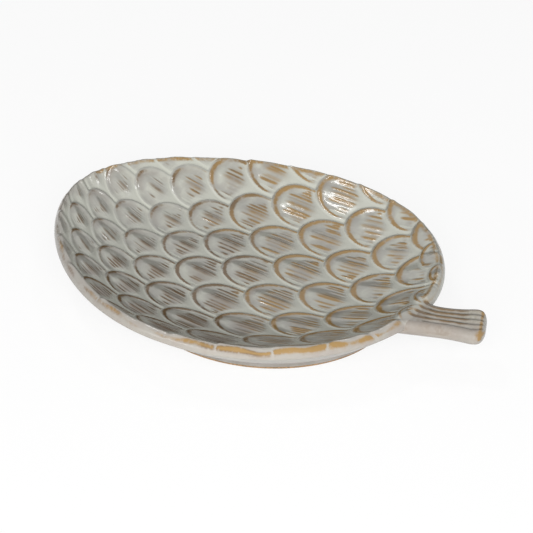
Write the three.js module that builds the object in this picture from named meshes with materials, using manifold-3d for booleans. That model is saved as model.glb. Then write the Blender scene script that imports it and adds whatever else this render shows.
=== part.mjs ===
// Pinecone-shaped stoneware dish: an egg-shaped shallow bowl whose inside is pressed with overlapping
// cone scales, a foot ring under it, and a short bent stem as a handle at the broad end.
// Millimetres, +Z up, +X from the cone's tip to its stem. Z = 0 is the table.
import * as THREE from "three";
import { mergeVertices } from "three/addons/utils/BufferGeometryUtils.js";
import Module from "manifold-3d";

const wasm = await Module();
wasm.setup();

// Bowl outline, seen from above
const BOWL_LENGTH = 165;
const BOWL_WIDTH = 136.6;
const EGG_BIAS = 0.14; // how far the widest place moves towards the stem
const EGG_FULLNESS = 0.036; // how much fuller the shoulders are than an ellipse's

// Bowl section
const RIM_HEIGHT = 19.4; // crest of the plain rim above the table, under the scales
const RIM_CREST_INSET = 2; // from the outer edge to the crest
const RIM_DROP = 1.6; // how far the lip rounds down from the crest to the outer edge
const LIP_DEPTH = 0.3; // upright band below the rounded lip
const FLOOR_THICKNESS = 5;
const WALL_REACH = 42; // plan width of the curved inner wall, from the crest to the flat floor
const WALL_CURVE = 2.2; // exponent of the inner wall's rise
const WALL_BELLY = 0.06; // fullness of the outer wall between lip and foot, 0 (straight) to 1

// Foot ring
const FOOT_HEIGHT = 3.5;
const FOOT_INSET = 20.7; // from the bowl's outer edge to the ring's outer face
const FOOT_SHIFT = 3; // the ring sits this far towards the stem
const FOOT_WIDTH = 5.6;
const FOOT_TAPER = 0.8; // each side face leans in by this towards the table
const FOOT_SEAT_MARGIN = 1; // flat underside of the bowl outside the ring

// Scale pattern: a staggered lattice. "Along" runs tip to stem, "across" from side to side.
const PATTERN_X = -1.8; // where the middle row's free ends lie, before they are drawn to the tip
const PATTERN_Y = -2;
const PITCH_ALONG = 33.4;
const PITCH_ACROSS = 22.95;
const ROW_SKEW = 6.75; // each row across leans along the dish
const SKEW_DRIFT = 0.53; // and leans more towards the stem
const ROW_LEAN = 3.6; // each row along drifts across the dish
const ROW_BOW = 0.77; // rows across bow towards the tip at their ends
const AXIS_BOW = 1.48; // rows along bow to one side
const ROW_FAN = 1.1; // rows along spread towards the stem
const ROW_DRIFT = 0.32; // rows along are wider on one side
const MIDDLE_DRAW = 3.6; // the middle rows are drawn towards the tip
const END_CLOSING_ALONG = 0.6; // scales shorten towards both ends
const END_CLOSING_ACROSS = 0.9; // and narrow there
const SIDE_CLOSING = 0.255; // and narrow towards the sides
const PATTERN_REACH = 4; // pitches from the middle that the closing-in holds for

// One scale, in shares of the lattice pitch
const SCALE_HALF_WIDTH = 0.46;
const SCALE_ARCH = 0.38; // length of the rounded free end
const SCALE_REACH = 1.06; // free end to buried base
const SCALE_WAIST = 0.72; // where the sides turn in, back from the free end
const SCALE_WAIST_TAPER = 0.95; // width there beside the scale's own
const SCALE_BASE_TAPER = 0.6; // width of the buried base beside the scale's own

// One scale, in millimetres
const SCALE_FREE_RISE = 1.7; // edge of the free end above the bowl's plain surface
const SCALE_BASE_RISE = 0.4;
const SCALE_KEEL = 0.55; // ridge down the middle above the edges
const SCALE_SINK = 1.2; // how deep a scale roots in the bowl
const SCALE_RIM_RISE = 0.7; // scales stand this proud where they cross the rim
const SCALE_RIM_INSET = 0.35; // and stop this far inside the outer edge

// Stem
const STEM_LENGTH = 24.2; // along its bent middle line, from the bowl's end
const STEM_ROOT_DEPTH = 7; // raw length inside the bowl's end, cut away at the joint
const STEM_SIDE_OFFSET = 6.9; // root beside the bowl's axis
const STEM_START_ANGLE = 22; // degrees from the bowl's axis
const STEM_END_ANGLE = 34;
const STEM_TOP = 19.1; // above the table
const STEM_THICKNESS = 5.6;
const STEM_EDGE_ROUND = 2.6; // of its long edges
const STEM_WAIST_WIDTH = 15.8;
const STEM_WAIST_PLACE = 0.45; // share of the stem's raw length
const STEM_END_WIDTH = 22;
const STEM_END_DEPTH = 6.5; // length of its rounded end
const STEM_END_SQUARENESS = 2.6; // of that end seen from above, where 2 is half an ellipse
const STEM_END_SWEEP = 80; // degrees of that rounding before the small flat at the end
const STEM_NOSE = 2.6; // the end's upper and lower edges round over this length
const STEM_NEAR_FLARE = 0.8; // widening into the rim on the side it bends away from
const STEM_NEAR_FLARE_LENGTH = 14;
const STEM_FAR_FLARE = 1.6; // widening into the rim on the side it bends to
const STEM_FAR_FLARE_LENGTH = 6;
const STEM_GROOVES = 4;
const STEM_GROOVE_DEPTH = 0.7;
const JOINT_GAP = 0.3; // the slip joint between stem and bowl

// Facets
const OUTLINE_STEPS = 72;
const ARCH_STEPS = 5; // per half of a scale's free end
const INNER_WALL_STEPS = 6;
const OUTER_WALL_STEPS = 5;
const LIP_STEPS = 3;
const STEM_STEPS = 12;
const STEM_END_STEPS = 6;
const EDGE_STEPS = 4;

const FLOOR_TOP = FOOT_HEIGHT + FLOOR_THICKNESS;
const GLAZE = new THREE.Color(0.62, 0.61, 0.57);
const BARE_CLAY = new THREE.Color(0.55, 0.39, 0.22);

// Solids

function toManifold(geometry) {
  const bare = geometry.clone();
  bare.deleteAttribute("normal");
  bare.deleteAttribute("uv");
  const merged = mergeVertices(bare, 1e-4);
  return new wasm.Manifold(
    new wasm.Mesh({
      numProp: 3,
      vertProperties: new Float32Array(merged.attributes.position.array),
      triVerts: new Uint32Array(merged.index.array),
    }),
  );
}

function toGeometry(solid) {
  const mesh = solid.getMesh();
  const positions = new Float32Array(mesh.numVert * 3);
  for (let i = 0; i < mesh.numVert; i++) {
    positions.set(mesh.vertProperties.subarray(i * mesh.numProp, i * mesh.numProp + 3), i * 3);
  }
  const geometry = new THREE.BufferGeometry();
  geometry.setAttribute("position", new THREE.BufferAttribute(positions, 3));
  geometry.setIndex(new THREE.BufferAttribute(new Uint32Array(mesh.triVerts), 1));
  geometry.computeVertexNormals();
  return geometry;
}

// A closed skin through rings of equal length. Ends close on a middle point each, or the last ring joins
// the first. Rings run anticlockwise as seen from the end that the sequence comes to.
function skin(rings, closesOnItself) {
  const count = rings[0].length;
  const points = rings.flat();
  const faces = [];
  const last = closesOnItself ? rings.length : rings.length - 1;
  for (let r = 0; r < last; r++) {
    const here = r * count;
    const next = ((r + 1) % rings.length) * count;
    for (let i = 0; i < count; i++) {
      const j = (i + 1) % count;
      faces.push(here + i, here + j, next + j, here + i, next + j, next + i);
    }
  }
  if (!closesOnItself) {
    for (const [ring, flip] of [[0, true], [rings.length - 1, false]]) {
      const middle = new THREE.Vector3();
      rings[ring].forEach((point) => middle.add(point));
      points.push(middle.divideScalar(count));
      for (let i = 0; i < count; i++) {
        const a = ring * count + i;
        const b = ring * count + ((i + 1) % count);
        faces.push(points.length - 1, flip ? b : a, flip ? a : b);
      }
    }
  }
  const geometry = new THREE.BufferGeometry().setFromPoints(points);
  geometry.setIndex(faces);
  return geometry;
}

// Egg outline and its distance field

const eggWidthAt = (t) => Math.sin(t) * (1 + EGG_BIAS * Math.cos(t) - EGG_FULLNESS * Math.cos(2 * t));
const EGG_SAMPLES = 720;
const sampleAngle = (i) => (2 * Math.PI * i) / EGG_SAMPLES;
const EGG_WIDEST = Math.max(...Array.from({ length: EGG_SAMPLES }, (_, i) => eggWidthAt(sampleAngle(i))));

function eggPoint(t) {
  return new THREE.Vector2(
    (BOWL_LENGTH / 2) * Math.cos(t),
    ((BOWL_WIDTH / 2) * eggWidthAt(t)) / EGG_WIDEST,
  );
}

function eggNormal(t) {
  const step = 1e-4;
  const tangent = eggPoint(t + step).sub(eggPoint(t - step)).normalize();
  return new THREE.Vector2(tangent.y, -tangent.x);
}

const eggSamples = Array.from({ length: EGG_SAMPLES }, (_, i) => ({
  point: eggPoint(sampleAngle(i)),
  normal: eggNormal(sampleAngle(i)),
}));

// Distance inwards from the outline, negative outside it.
function insetOf(x, y) {
  let nearest = eggSamples[0];
  let least = Infinity;
  for (const sample of eggSamples) {
    const square = (sample.point.x - x) ** 2 + (sample.point.y - y) ** 2;
    if (square < least) {
      least = square;
      nearest = sample;
    }
  }
  return (nearest.point.x - x) * nearest.normal.x + (nearest.point.y - y) * nearest.normal.y;
}

// The outline moved inwards, as a ring of points at one height, shifted along the axis.
function insetRing(inset, z, shift) {
  return Array.from({ length: OUTLINE_STEPS }, (_, i) => {
    const t = (2 * Math.PI * i) / OUTLINE_STEPS;
    const place = eggPoint(t).addScaledVector(eggNormal(t), -inset);
    return new THREE.Vector3(place.x + shift, place.y, z);
  });
}

// A solid through stations of [inset, z, shift]. They run from the bottom outwards, up and back inwards.
const eggLoft = (stations, closesOnItself = false) =>
  skin(stations.map(([inset, z, shift = 0]) => insetRing(inset, z, shift)), closesOnItself);

// Bowl

// The plain inner surface under the scales, inwards of the crest.
function innerHeight(inset) {
  const share = Math.min(1, Math.max(0, (inset - RIM_CREST_INSET) / WALL_REACH));
  return FLOOR_TOP + (RIM_HEIGHT - FLOOR_TOP) * (1 - share) ** WALL_CURVE;
}

// Stations of the outer side, from the foot's seat up to the lip's lower edge.
function outerWall(outset) {
  const seat = new THREE.Vector2(FOOT_INSET - FOOT_SEAT_MARGIN, FOOT_HEIGHT);
  const lip = new THREE.Vector2(0, RIM_HEIGHT - RIM_DROP - LIP_DEPTH);
  const belly = seat.clone().lerp(lip, 0.5).lerp(new THREE.Vector2(lip.x, seat.y), WALL_BELLY);
  return new THREE.QuadraticBezierCurve(seat, belly, lip)
    .getPoints(OUTER_WALL_STEPS)
    .map((point) => [point.x - outset, point.y, (FOOT_SHIFT * (lip.y - point.y)) / (lip.y - seat.y)]);
}

// Stations of the rounded lip from the outer edge to the crest, raised and set in as asked.
function lipStations(rise, inset) {
  return Array.from({ length: LIP_STEPS + 1 }, (_, i) => {
    const angle = (Math.PI / 2) * (i / LIP_STEPS);
    return [
      RIM_CREST_INSET - (RIM_CREST_INSET - inset) * Math.cos(angle),
      RIM_HEIGHT + rise - RIM_DROP * (1 - Math.sin(angle)),
    ];
  });
}

function plainBowl() {
  const innerWall = Array.from({ length: INNER_WALL_STEPS }, (_, i) => {
    const inset = RIM_CREST_INSET + (WALL_REACH * (i + 1)) / INNER_WALL_STEPS;
    return [inset, innerHeight(inset)];
  });
  return eggLoft([...outerWall(0), ...lipStations(0, 0), ...innerWall]);
}

// Everything within the rim, up to the height where scales cross it. It trims the scales' outer ends.
function rimEnvelope() {
  const clearAbove = RIM_HEIGHT + SCALE_FREE_RISE + SCALE_KEEL + SCALE_SINK;
  return eggLoft([
    [RIM_CREST_INSET, 0],
    [SCALE_RIM_INSET, RIM_HEIGHT - RIM_DROP],
    ...lipStations(SCALE_RIM_RISE, SCALE_RIM_INSET),
    [RIM_CREST_INSET + SCALE_RIM_RISE, clearAbove],
  ]);
}

// Scales

// Place on the plan of a point of the lattice.
function latticePlace(along, across) {
  return new THREE.Vector2(
    PATTERN_X + PITCH_ALONG * along + ROW_SKEW * across + SKEW_DRIFT * along * across
      - ROW_BOW * across ** 2 - END_CLOSING_ALONG * along ** 3 - MIDDLE_DRAW * Math.exp(-(along ** 2)),
    PATTERN_Y + ROW_LEAN * along - PITCH_ACROSS * across + AXIS_BOW * along ** 2
      - ROW_FAN * along * across + ROW_DRIFT * across ** 2
      + END_CLOSING_ACROSS * along ** 2 * across + SIDE_CLOSING * across ** 3,
  );
}

// Half of a scale's outline from the free end's middle to the base, as [back from the free end, half width].
function scaleHalfOutline() {
  const arch = Array.from({ length: ARCH_STEPS }, (_, i) => {
    const angle = (Math.PI / 2) * ((i + 1) / ARCH_STEPS);
    return [SCALE_ARCH * (1 - Math.cos(angle)), SCALE_HALF_WIDTH * Math.sin(angle)];
  });
  return [
    ...arch,
    [SCALE_WAIST, SCALE_HALF_WIDTH * SCALE_WAIST_TAPER],
    [SCALE_REACH, SCALE_HALF_WIDTH * SCALE_BASE_TAPER],
  ];
}

// One overlapping scale as a closed tongue: its free end points to the tip and stands proud, its keel
// is a ridge down the middle, and its underside is sunk in the bowl.
function scaleTongue(along, across) {
  const half = scaleHalfOutline();
  const vertex = (back, side, keel, sunk) => {
    const place = latticePlace(along + back, across + side);
    const base = innerHeight(insetOf(place.x, place.y));
    const rise = SCALE_FREE_RISE + (SCALE_BASE_RISE - SCALE_FREE_RISE) * (back / SCALE_REACH) + keel;
    return new THREE.Vector3(place.x, place.y, sunk ? base - SCALE_SINK : base + rise);
  };
  const points = [];
  const layer = (sunk) => {
    const first = points.length;
    points.push(vertex(0, 0, 0, sunk));
    for (const [back, side] of half) {
      points.push(vertex(back, -side, 0, sunk), vertex(back, 0, SCALE_KEEL, sunk), vertex(back, side, 0, sunk));
    }
    return first;
  };
  const top = layer(false);
  const bottom = layer(true);
  const faces = [];
  const quad = (a, b, c, d) => faces.push(a, b, c, a, c, d);
  const column = (first, i) => ({ left: first + 1 + i * 3, keel: first + 2 + i * 3, right: first + 3 + i * 3 });
  for (const [first, flip] of [[top, false], [bottom, true]]) {
    const face = (a, b, c) => (flip ? faces.push(a, c, b) : faces.push(a, b, c));
    const start = column(first, 0);
    face(first, start.keel, start.left);
    face(first, start.right, start.keel);
    for (let i = 0; i + 1 < half.length; i++) {
      const here = column(first, i);
      const next = column(first, i + 1);
      face(here.left, here.keel, next.keel);
      face(here.left, next.keel, next.left);
      face(here.keel, here.right, next.right);
      face(here.keel, next.right, next.keel);
    }
  }
  const rim = (first) => {
    const lefts = half.map((_, i) => column(first, i).left);
    const rights = half.map((_, i) => column(first, i).right);
    return [first, ...lefts, column(first, half.length - 1).keel, ...rights.reverse()];
  };
  const upper = rim(top);
  const lower = rim(bottom);
  for (let i = 0; i < upper.length; i++) {
    const j = (i + 1) % upper.length;
    quad(upper[i], upper[j], lower[j], lower[i]);
  }
  const geometry = new THREE.BufferGeometry().setFromPoints(points);
  geometry.setIndex(faces);
  return geometry;
}

// Lattice places whose scale shows inside the rim.
function scalePlaces() {
  const reach = 2 * PATTERN_REACH;
  const places = [];
  for (let i = -reach; i <= reach; i++) {
    for (let j = -reach; j <= reach; j++) {
      const along = (i + j) / 2;
      const across = (i - j) / 2;
      const middle = latticePlace(along + SCALE_ARCH, across);
      const inReach = Math.hypot(along, across) <= PATTERN_REACH;
      if (inReach && insetOf(middle.x, middle.y) > -PITCH_ACROSS * SCALE_HALF_WIDTH) {
        places.push([along, across]);
      }
    }
  }
  return places;
}

function dishShell() {
  const scales = scalePlaces().map(([along, across]) => toManifold(scaleTongue(along, across)));
  const trimmed = scales.reduce((joined, scale) => joined.add(scale)).intersect(toManifold(rimEnvelope()));
  return toGeometry(toManifold(plainBowl()).add(trimmed));
}

// Foot ring: its flat top seats on the bowl's flat underside.
function footRing() {
  const inner = FOOT_INSET + FOOT_WIDTH;
  const stations = [
    [inner - FOOT_TAPER, 0],
    [FOOT_INSET + FOOT_TAPER, 0],
    [FOOT_INSET, FOOT_HEIGHT],
    [inner, FOOT_HEIGHT],
  ];
  return eggLoft(stations.map(([inset, z]) => [inset, z, FOOT_SHIFT]), true);
}

// Stem

// A place on the stem's bent middle line, by distance from its raw root.
function stemLine(distance) {
  const total = STEM_ROOT_DEPTH + STEM_LENGTH;
  const start = THREE.MathUtils.degToRad(STEM_START_ANGLE);
  const turn = THREE.MathUtils.degToRad(STEM_END_ANGLE - STEM_START_ANGLE);
  const radius = total / turn;
  const heading = start + turn * (distance / total);
  return {
    heading,
    x: BOWL_LENGTH / 2 - STEM_ROOT_DEPTH + radius * (Math.sin(heading) - Math.sin(start)),
    y: STEM_SIDE_OFFSET - radius * (Math.cos(heading) - Math.cos(start)),
  };
}

// Half widths on the side the stem bends away from and on the side it bends to.
function stemHalfWidths(distance) {
  const share = distance / (STEM_ROOT_DEPTH + STEM_LENGTH);
  const widening = Math.max(0, (share - STEM_WAIST_PLACE) / (1 - STEM_WAIST_PLACE)) ** 2;
  const half = (STEM_WAIST_WIDTH + (STEM_END_WIDTH - STEM_WAIST_WIDTH) * widening) / 2;
  const flare = (size, length) => size * Math.max(0, 1 - (distance - STEM_ROOT_DEPTH) / length) ** 2;
  return {
    near: half + flare(STEM_NEAR_FLARE, STEM_NEAR_FLARE_LENGTH),
    far: half + flare(STEM_FAR_FLARE, STEM_FAR_FLARE_LENGTH),
  };
}

// Section across the stem, anticlockwise as seen from its end: a bar with round edges and a grooved top.
function stemSection({ near, far }, thickness, round, grooveDepth) {
  const tall = thickness / 2 - round;
  const corner = (side, rise, from) => Array.from({ length: EDGE_STEPS + 1 }, (_, i) => {
    const angle = from + (Math.PI / 2) * (i / EDGE_STEPS);
    return new THREE.Vector2(side + round * Math.cos(angle), rise + round * Math.sin(angle));
  });
  const left = far - round;
  const right = round - near;
  const cells = STEM_GROOVES * 2;
  const top = Array.from({ length: cells - 1 }, (_, i) => new THREE.Vector2(
    left + ((right - left) * (i + 1)) / cells,
    thickness / 2 - (i % 2 ? 0 : grooveDepth),
  ));
  return [
    ...corner(left, tall, 0),
    ...top,
    ...corner(right, tall, Math.PI / 2),
    ...corner(right, -tall, Math.PI),
    ...corner(left, -tall, Math.PI * 1.5),
  ];
}

// Stations along the stem, each with the share of the width that is left in the rounded end.
function stemStations() {
  const straight = STEM_ROOT_DEPTH + STEM_LENGTH - STEM_END_DEPTH;
  const stations = Array.from({ length: STEM_STEPS + 1 }, (_, i) => ({
    distance: (straight * i) / STEM_STEPS,
    left: 1,
  }));
  for (let i = 1; i <= STEM_END_STEPS; i++) {
    const angle = THREE.MathUtils.degToRad(STEM_END_SWEEP) * (i / STEM_END_STEPS);
    stations.push({
      distance: straight + STEM_END_DEPTH * Math.sin(angle) ** (2 / STEM_END_SQUARENESS),
      left: Math.cos(angle) ** (2 / STEM_END_SQUARENESS),
    });
  }
  return stations;
}

function stemHandle() {
  const noseStart = STEM_ROOT_DEPTH + STEM_LENGTH - STEM_NOSE;
  const middle = STEM_TOP - STEM_THICKNESS / 2;
  const rings = stemStations().map(({ distance, left }) => {
    const line = stemLine(distance);
    const intoNose = Math.max(0, (distance - noseStart) / STEM_NOSE);
    const thickness = STEM_THICKNESS * Math.sqrt(1 - intoNose ** 2);
    const half = stemHalfWidths(distance);
    const section = stemSection(
      { near: half.near * left, far: half.far * left },
      thickness,
      (STEM_EDGE_ROUND * thickness) / STEM_THICKNESS,
      STEM_GROOVE_DEPTH * (1 - intoNose) * left ** 2,
    );
    return section.map((point) => new THREE.Vector3(
      line.x - point.x * Math.sin(line.heading),
      line.y + point.x * Math.cos(line.heading),
      middle + point.y,
    ));
  });
  const outside = eggLoft([...outerWall(JOINT_GAP), [-JOINT_GAP, RIM_HEIGHT + STEM_THICKNESS]]);
  return toGeometry(toManifold(skin(rings, false)).subtract(toManifold(outside)));
}

// Assembly

function piece(name, geometry, color, roughness) {
  const mesh = new THREE.Mesh(geometry, new THREE.MeshStandardMaterial({ color, roughness, metalness: 0 }));
  mesh.name = name;
  return mesh;
}

const dish = new THREE.Group();
dish.name = "pinecone_dish";
dish.add(
  piece("dish_shell", dishShell(), GLAZE, 0.18),
  piece("foot_ring", footRing(), BARE_CLAY, 0.75),
  piece("stem_handle", stemHandle(), GLAZE, 0.18),
);

// The origin lies on the table, under the middle of the whole dish with its stem.
const middle = new THREE.Box3().setFromObject(dish).getCenter(new THREE.Vector3());
dish.position.set(-middle.x, -middle.y, 0);

export default dish;
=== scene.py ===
"""Looks of the pinecone-shaped stoneware dish: the pressed scales in full detail, and a reactive glaze that is
pale where it pools in the grooves and breaks to brown on every raised edge and ridge.

Lengths are millimetres until a mesh is made, and the bowl's own frame has its origin on the table under the
middle of the bowl. +X runs from the cone's tip to its stem.
"""

import math

import bpy
import numpy as np
from mathutils import Matrix, Vector


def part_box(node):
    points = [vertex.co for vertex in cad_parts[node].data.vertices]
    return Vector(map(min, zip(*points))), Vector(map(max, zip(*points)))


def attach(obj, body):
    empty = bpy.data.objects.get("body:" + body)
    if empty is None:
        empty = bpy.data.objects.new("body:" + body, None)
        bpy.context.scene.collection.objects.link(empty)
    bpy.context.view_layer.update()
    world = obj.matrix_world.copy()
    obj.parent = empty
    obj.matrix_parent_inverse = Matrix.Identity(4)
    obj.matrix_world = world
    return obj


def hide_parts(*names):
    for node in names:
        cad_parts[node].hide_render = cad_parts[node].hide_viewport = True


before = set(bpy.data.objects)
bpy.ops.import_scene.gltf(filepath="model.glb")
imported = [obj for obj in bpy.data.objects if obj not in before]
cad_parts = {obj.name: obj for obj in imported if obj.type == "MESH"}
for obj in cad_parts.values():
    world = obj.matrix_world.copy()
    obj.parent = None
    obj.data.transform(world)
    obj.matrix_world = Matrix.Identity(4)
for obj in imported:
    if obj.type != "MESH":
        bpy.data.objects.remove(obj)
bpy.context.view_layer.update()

MM = 0.001
SEED = 7
FAR_AWAY = 100.0  # more than any distance on the dish that matters
NEWTON_STEPS = 12
HALVINGS = 30

# Bowl
shell_low, shell_high = (np.array(corner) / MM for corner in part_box("dish_shell"))
foot_low, foot_high = (np.array(corner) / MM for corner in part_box("foot_ring"))
stem_low, stem_high = (np.array(corner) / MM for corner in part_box("stem_handle"))
BOWL_LENGTH = shell_high[0] - shell_low[0]
BOWL_WIDTH = shell_high[1] - shell_low[1]
BOWL_MIDDLE = np.array([(shell_low[0] + shell_high[0]) / 2, (shell_low[1] + shell_high[1]) / 2, 0.0])
EGG_BIAS = 0.14
EGG_FULLNESS = 0.036
RIM_HEIGHT = 19.4
RIM_CREST_INSET = 2.6
RIM_DROP = 2.4
LIP_DEPTH = 0.3
FLOOR_THICKNESS = 5.0
WALL_REACH = 42.0
WALL_CURVE = 2.2
WALL_BELLY = 0.06

# Foot ring
FOOT_HEIGHT = foot_high[2]
FOOT_INSET = 20.7
FOOT_SHIFT = 3.0
FOOT_WIDTH = 5.6
FOOT_TAPER = 0.8
FOOT_SEAT_MARGIN = 1.0
FOOT_ROUND = 0.5
BARE_LINE = 1.0  # the glaze stops about this far above the table
BARE_LINE_WAVES = 0.5
BARE_LINE_BLUR = 0.35

# Scale pattern, a staggered lattice
PATTERN_X = -1.8
PATTERN_Y = -2.0
PITCH_ALONG = 33.4
PITCH_ACROSS = 22.95
ROW_SKEW = 6.75
SKEW_DRIFT = 0.53
ROW_LEAN = 3.6
ROW_BOW = 0.77
AXIS_BOW = 1.48
ROW_FAN = 1.1
ROW_DRIFT = 0.32
MIDDLE_DRAW = 3.6
END_CLOSING_ALONG = 0.6
END_CLOSING_ACROSS = 0.9
SIDE_CLOSING = 0.255
PATTERN_REACH = 4

# Small scales that crowd beside the stem
SMALL_SCALES = (  # x, y and size
    (55.5, 41.0, 0.85),
    (67.0, 32.0, 0.65),
    (72.5, 16.5, 0.6),
    (76.5, 3.0, 0.65),
)
SMALL_HEADING = math.radians(40)
SMALL_SHORTNESS = 0.6
SMALL_CORNER = (70.0, 0.4)  # they stand in for full scales beyond this x, less this share of y

# One scale, in shares of the pitch
SCALE_HALF_WIDTH = 0.46
SCALE_ARCH = 0.38
SCALE_REACH = 1.06
SCALE_AHEAD = 0.3  # a scale's step is followed this far ahead of its free end
SCALE_ASIDE = 0.8  # and this far to each side

# One scale, in millimetres
SCALE_FREE_RISE = 1.6
SCALE_BASE_RISE = 0.4
NEAR_SIDE_DROP = 0.4  # share by which a scale is lower along its near side
NEAR_SIDE_BAND = (0.2, 1.0)  # shares of the half width over which it gets so
SCALE_FLANK = 1.25  # steepness of the step at its free end
SCALE_EDGE_SOFTNESS = 0.6
SCALE_BLEND = 1.0  # glaze fillet where two scales meet
EDGE_RIDGE = 0.22  # raised line along the free end
EDGE_LINE_INSET = 0.8
EDGE_LINE_WIDTH = 0.85
LINE_INSET = 0.6  # the brown line lies this far inside the edge
LINE_FAR_REACH = 0.45  # and runs back along a scale's sides to these shares of the pitch
LINE_NEAR_REACH = 0.26
LINE_FADE = 0.3
LINE_THICK, LINE_THIN = 1.25, 0.6  # shares of its width at the free end and along the sides
LINE_THINNED = 0.5  # share of the pitch at which it is thin
LINE_CLEAR = (0.2, 0.9)  # it is hidden this near another scale's step
APEX_INSET = 1.5  # brown patch behind the free end
APEX_DEPTH = 1.3
APEX_WIDTH = 0.3
APEX_WEIGHT = 0.65
DISHED_DEPTH = 0.25  # hollow behind that line
DISHED_INSET = 3.2
DISHED_WIDTH = 2.2
HOLLOW_INSET = 2.2  # thin dark glaze in that hollow
HOLLOW_DEPTH = 1.5
HOLLOW_PLACE = -0.1
HOLLOW_WIDTH = 0.65
HOLLOW_WEIGHT = 0.6
KEEL_RISE = 0.4
KEEL_SPREAD = 0.3  # share of the scale's half width
KEEL_START = (0.0, 3.0)
KEEL_LINE_WIDTH = 0.12  # brown line along the keel
KEEL_LINE_START = (3.0, 10.0)
KEEL_LINE_WEIGHT = 0.5
STREAK_RISE = 0.22
STREAK_WIDTH = 0.047  # share of the scale's half width
STREAK_PLACES = (-0.86, -0.7, -0.54, -0.38, -0.2, 0.2, 0.38, 0.55, 0.7, 0.85)  # shares of the scale's half width
STREAK_JITTER = 0.045
STREAK_START = (3.0, 8.0)  # behind the free end, least and most
STREAK_TAPER = 4.0
STREAK_WEIGHT = (0.3, 1.0)
STREAK_WARM_GAIN = 0.4  # golden streaks are wider by this share
SHADE_START = (3.0, 12.0)  # thin mauve glaze over the pad behind the free end
SHADE_LEVEL = 0.4
SHADE_KEEL = 0.5  # and so much more along the pad's middle
SHADE_PLACE = 0.1
SHADE_WIDTH = 0.5
STEM_END_PALE_AND_PAINTED_LIGHT = (35.0, 60.0)  # it is half as strong at the stem's end: partly the glaze's own paler colour there, partly painted light that lifts the shade on the end wall, which faces away from the key lamp
POOL_WIDTH = 2.3  # glaze pooled at the foot of a scale's step
POOL_CLEAR = (1.5, 3.4)  # no streaks nearer a step than this, all of them beyond
BASE_FADE = (0.42, 0.68)  # share of the pitch over which a scale's base turns plain
SOFT_TIP = (-60.0, -10.0)  # scales are rounder and plainer towards the cone's tip
SOFT_LEAN = 0.6  # less so beyond this side line
SOFT_SIDE = 10.0
RIM_RELIEF = 0.75  # share of the relief left where scales cross the rim
RIM_RELIEF_REACH = 10.0
RIM_RELIEF_END = 0.2  # it is gone this far outside the outline

# Stem
STEM_LENGTH = 24.1
STEM_ROOT_DEPTH = 7.0
STEM_SIDE_OFFSET = 6.9
STEM_START_ANGLE = math.radians(22)
STEM_END_ANGLE = math.radians(34)
STEM_TOP = stem_high[2]
STEM_THICKNESS = stem_high[2] - stem_low[2]
STEM_EDGE_ROUND = 2.6
STEM_WAIST_WIDTH = 15.8
STEM_WAIST_PLACE = 0.45
STEM_END_WIDTH = 22.0
STEM_END_DEPTH = 6.5
STEM_END_SQUARENESS = 2.6
STEM_END_SWEEP = math.radians(80)
STEM_NOSE = 2.6
STEM_NEAR_FLARE = 0.8
STEM_NEAR_FLARE_LENGTH = 14.0
STEM_FAR_FLARE = 1.6
STEM_FAR_FLARE_LENGTH = 6.0
STEM_GROOVES = 4
STEM_GROOVE_DEPTH = 0.5
STEM_GROOVE_FADE = 6.0  # the grooves deepen over this length from the rim
STEM_EMBED = 0.8  # its root runs this far into the bowl's wall
ROOT_BLEND = (1.5, 9.0)  # insets over which the bowl's rim runs level into the stem
ROOT_SIDE = 0.5  # and this far beside it
ROOT_SLOPE = 0.1
ROOT_RELIEF = 0.4  # share of the scales' relief left there
ROOT_RISE = (-0.5, 5.0)  # insets over which they rise out of the stem's top
ROOT_SHOWN = (0.5, 4.5)  # insets over which their glaze takes over from the stem's

# Glaze on the stem, along it in shares of its length and across its top from -1 to 1
STEM_LINED = (-0.9, -0.5)  # the brown ridges lie on the far part of the top
STEM_LINES_END = (0.55, 0.85)
STEM_LINE_WEIGHT = 0.9
STEM_LINE_SHARPNESS = 1.2
STEM_POOL, STEM_GROOVE_POOL = 0.15, 0.3
STEM_TONE, STEM_SIDE_TONE, STEM_FAR_TONE = 0.35, 0.4, 0.2
STEM_LILAC = 0.6
STEM_LILAC_END = (-0.7, 0.3)
STEM_WARM, STEM_END_WARM = 0.05, 0.9
STEM_END_WARMED = (0.7, 0.95)
STEM_WORN, STEM_END_WORN = 0.1, 0.6  # its edges break to brown, mostly at the end
STEM_END_REACH = (0.75, 0.95)
STEM_UNDER_WORN = 0.2
NOSE_LINE, NOSE_LINE_WIDTH, NOSE_LINE_WEIGHT = 0.3, 0.3, 0.9

# Mesh fineness
RELIEF_CELLS = 440  # along each side of the square that is mapped to the bowl's inside
WALL_RINGS = 8
FOOT_STEPS = 360
STEM_RINGS = 70
STEM_TOP_POINTS = 49
STEM_EDGE_POINTS = 8
STEM_END_RINGS = 24

# Glaze and clay colours
POOLED = (0.41, 0.415, 0.365)
PAD = (0.32, 0.315, 0.285)
MAUVE = (0.18, 0.145, 0.12)
BROWN = (0.12, 0.075, 0.035)
OCHRE = (0.25, 0.155, 0.055)
CLAY = (0.36, 0.21, 0.09)
LILAC = (0.27, 0.24, 0.215)
FOOT_THIN = (0.21, 0.195, 0.175)
FOOT_THICK = (0.27, 0.255, 0.235)
FLOOR_PALE = (0.9, 0.9, 0.9)
FLOOR_PALER = (0.93, 0.93, 0.93)
CARD_DARK = (0.04, 0.04, 0.04)
CARD_LESS_DARK = (0.05, 0.05, 0.05)
STAGE_ROUGHNESS = 0.9
STAGE_NOISE = 3.0

# Glaze and clay surface, noise scales per metre
DRIFT_SCALE = 45.0
PATCH_SCALE = 160.0
GRAIN_SCALE = 900.0
CLAY_SCALE = 1500.0
GLAZE_ROUGHNESS = (0.1, 0.18)
POOL_ROUGHNESS = 0.25  # pooled glaze is rougher by up to this
FOOT_ROUGHNESS = 0.16
CLAY_ROUGHNESS = 0.75
GLAZE_IOR = 1.5

# Where the brown lines are golden
WARM_REACH = (-45.0, 50.0)  # the brown lines turn golden from the tip to the stem's far side
WARM_SLOPE = (0.55, 0.85)  # shares of x and y in that direction

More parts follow.
